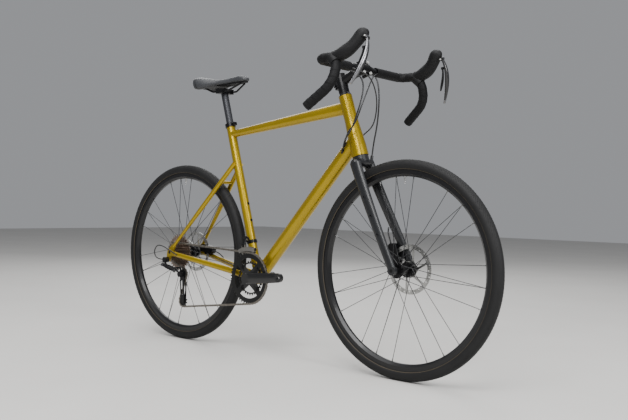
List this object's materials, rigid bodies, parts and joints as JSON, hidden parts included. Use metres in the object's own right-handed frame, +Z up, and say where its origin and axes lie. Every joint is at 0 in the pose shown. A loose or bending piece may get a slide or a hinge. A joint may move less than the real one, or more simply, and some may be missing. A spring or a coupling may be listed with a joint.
{
  "type": "gravel bicycle",
  "caption": "Drop-bar gravel bicycle with disc brakes, derailleur gears and flared bars; wheels, cranks, steering, levers, derailleurs and seat post move.",
  "frame": {"origin": "on the ground, midway between the two wheel axles, in the plane of the wheels", "axes": "+X forward, +Y to the rider's left, +Z up"},
  "size_m": [1.7616, 0.5708, 1.0774],
  "materials": {
    "frame_paint": "satin metallic",
    "fork_paint": "satin",
    "black_alloy": "satin anodised",
    "silver_alloy": "satin",
    "steel": "brushed",
    "black_steel": "satin",
    "chain_steel": "satin",
    "cog_steel": "satin",
    "tyre": "matte",
    "rubber": "matte",
    "tape": "matte",
    "saddle_cover": "matte",
    "plastic": "matte",
    "cable": "gloss"
  },
  "bodies": {
    "frame": {"head_tube": "frame_paint", "top_tube": "frame_paint", "down_tube": "frame_paint", "seat_tube": "frame_paint", "bottom_bracket_shell": "frame_paint", "chainstays": "frame_paint", "seatstays": "frame_paint", "rear_dropouts": "frame_paint", "rear_thru_axle": "black_alloy", "frame_bearings": "black_alloy", "seat_clamp": "black_alloy", "frame_bosses": "black_alloy", "front_derailleur_clamp": "black_alloy", "rear_caliper": "black_alloy", "gear_cables": "cable", "rear_brake_hose": "cable", "chain": "chain_steel", "rd_b_knuckle": "black_alloy"},
    "seat": {"seat_post": "black_alloy", "saddle_clamp": "black_alloy", "saddle_rails": "black_steel", "saddle_shell": "plastic", "saddle_cover": "saddle_cover"},
    "steering": {"fork": "fork_paint", "headset_spacers": "black_alloy", "stem": "black_alloy", "stem_faceplate": "black_alloy", "handlebar": "black_alloy", "bar_tape": "tape", "bar_end_plugs": "plastic", "right_hood": "rubber", "left_hood": "rubber", "front_thru_axle": "black_alloy", "front_caliper": "black_alloy", "front_brake_hose": "cable"},
    "right_lever": {"right_brake_lever": "black_alloy"},
    "left_lever": {"left_brake_lever": "black_alloy"},
    "right_paddle": {"right_shift_paddle": "plastic"},
    "left_paddle": {"left_shift_paddle": "plastic"},
    "front_wheel": {"front_tyre": "tyre", "front_rim": "black_alloy", "front_spokes": "black_steel", "front_hub": "black_alloy", "front_rotor": "steel"},
    "rear_wheel": {"rear_tyre": "tyre", "rear_rim": "black_alloy", "rear_spokes": "black_steel", "rear_hub": "black_alloy", "rear_rotor": "steel"},
    "cassette": {"cassette": "cog_steel"},
    "crankset": {"crank_arms": "black_alloy", "chainrings": "black_alloy"},
    "rd_outer_link": {"rd_outer_link": "black_alloy"},
    "rd_inner_link": {"rd_inner_link": "black_alloy"},
    "rd_p_knuckle": {"rd_p_knuckle": "black_alloy"},
    "rd_cage": {"rd_cage": "black_alloy"},
    "guide_pulley": {"guide_pulley": "plastic"},
    "tension_pulley": {"tension_pulley": "plastic"},
    "fd_arm": {"fd_arm": "black_alloy"},
    "fd_cage": {"fd_cage": "silver_alloy"}
  },
  "joints": [
    {"name": "seat_height", "type": "slide", "parent": "frame", "child": "seat", "axis": [-0.284, 0, 0.9588], "range_m": [-0.09, 0.06]},
    {"name": "steering", "type": "hinge", "parent": "frame", "child": "steering", "pos_m": [0.35365, 0, 0.71031], "axis": [-0.3256, 0, 0.9455], "range_deg": [-60, 60], "deforming": ["gear_cables", "rear_brake_hose"]},
    {"name": "front_wheel_spin", "type": "hinge", "parent": "steering", "child": "front_wheel", "pos_m": [0.532, 0, 0.349], "axis": [0, 1, 0], "continuous": true},
    {"name": "rear_wheel_spin", "type": "hinge", "parent": "frame", "child": "rear_wheel", "pos_m": [-0.532, 0, 0.349], "axis": [0, 1, 0], "continuous": true},
    {"name": "crank_spin", "type": "hinge", "parent": "frame", "child": "crankset", "pos_m": [-0.10807, 0, 0.277], "axis": [0, 1, 0], "continuous": true, "deforming": ["chain"]},
    {"name": "cassette_spin", "type": "hinge", "parent": "frame", "child": "cassette", "pos_m": [-0.532, 0, 0.349], "axis": [0, 1, 0], "continuous": true},
    {"name": "rd_shift", "type": "hinge", "parent": "frame", "child": "rd_outer_link", "pos_m": [-0.552, -0.097, 0.3], "axis": [0, 0.4226, 0.9063], "range_deg": [-14, 20], "deforming": ["chain"]},
    {"name": "rd_inner_swing", "type": "hinge", "parent": "frame", "child": "rd_inner_link", "pos_m": [-0.552, -0.082, 0.3], "axis": [0, 0.4226, 0.9063], "range_deg": [-14, 20]},
    {"name": "rd_knuckle_swing", "type": "hinge", "parent": "rd_outer_link", "child": "rd_p_knuckle", "pos_m": [-0.494, -0.083, 0.279], "axis": [0, 0.4226, 0.9063], "range_deg": [-20, 14]},
    {"name": "rd_cage_swing", "type": "hinge", "parent": "rd_p_knuckle", "child": "rd_cage", "pos_m": [-0.478, 0, 0.266], "axis": [0, 1, 0], "range_deg": [-35, 40], "stiffness_Nm_per_rad": 1.2, "deforming": ["chain"]},
    {"name": "guide_pulley_spin", "type": "hinge", "parent": "rd_cage", "child": "guide_pulley", "pos_m": [-0.478, 0, 0.266], "axis": [0, 1, 0], "continuous": true},
    {"name": "tension_pulley_spin", "type": "hinge", "parent": "rd_cage", "child": "tension_pulley", "pos_m": [-0.47424, 0, 0.16007], "axis": [0, 1, 0], "continuous": true},
    {"name": "fd_shift", "type": "hinge", "parent": "frame", "child": "fd_arm", "pos_m": [-0.14641, -0.034, 0.424], "axis": [1, 0, 0], "range_deg": [0, 16], "deforming": ["chain"]},
    {"name": "fd_cage_swing", "type": "hinge", "parent": "fd_arm", "child": "fd_cage", "pos_m": [-0.14641, -0.044, 0.396], "axis": [1, 0, 0], "range_deg": [-16, 0]},
    {"name": "right_brake", "type": "hinge", "parent": "steering", "child": "right_lever", "pos_m": [0.52808, -0.20655, 1.045], "axis": [0, 0.9511, -0.309], "range_deg": [0, 22], "stiffness_Nm_per_rad": 1, "springref_deg": -5.73},
    {"name": "left_brake", "type": "hinge", "parent": "steering", "child": "left_lever", "pos_m": [0.52808, 0.20655, 1.045], "axis": [0, 0.9511, 0.309], "range_deg": [0, 22], "stiffness_Nm_per_rad": 1, "springref_deg": -5.73},
    {"name": "right_shift", "type": "hinge", "parent": "right_lever", "child": "right_paddle", "pos_m": [0.52458, -0.21628, 1.01504], "axis": [1, 0, 0], "range_deg": [0, 18], "stiffness_Nm_per_rad": 0.3, "springref_deg": -5.73},
    {"name": "left_shift", "type": "hinge", "parent": "left_lever", "child": "left_paddle", "pos_m": [0.52458, 0.21628, 1.01504], "axis": [-1, 0, 0], "range_deg": [0, 18], "stiffness_Nm_per_rad": 0.3, "springref_deg": -5.73}
  ],
  "couplings": [
    {"joint": "cassette_spin", "follows": "crank_spin", "ratio": 2.4211},
    {"joint": "guide_pulley_spin", "follows": "crank_spin", "ratio": -4.1818},
    {"joint": "tension_pulley_spin", "follows": "crank_spin", "ratio": 4.1818},
    {"joint": "rd_inner_swing", "follows": "rd_shift", "ratio": 1},
    {"joint": "rd_knuckle_swing", "follows": "rd_shift", "ratio": -1},
    {"joint": "fd_cage_swing", "follows": "fd_shift", "ratio": -1}
  ]
}
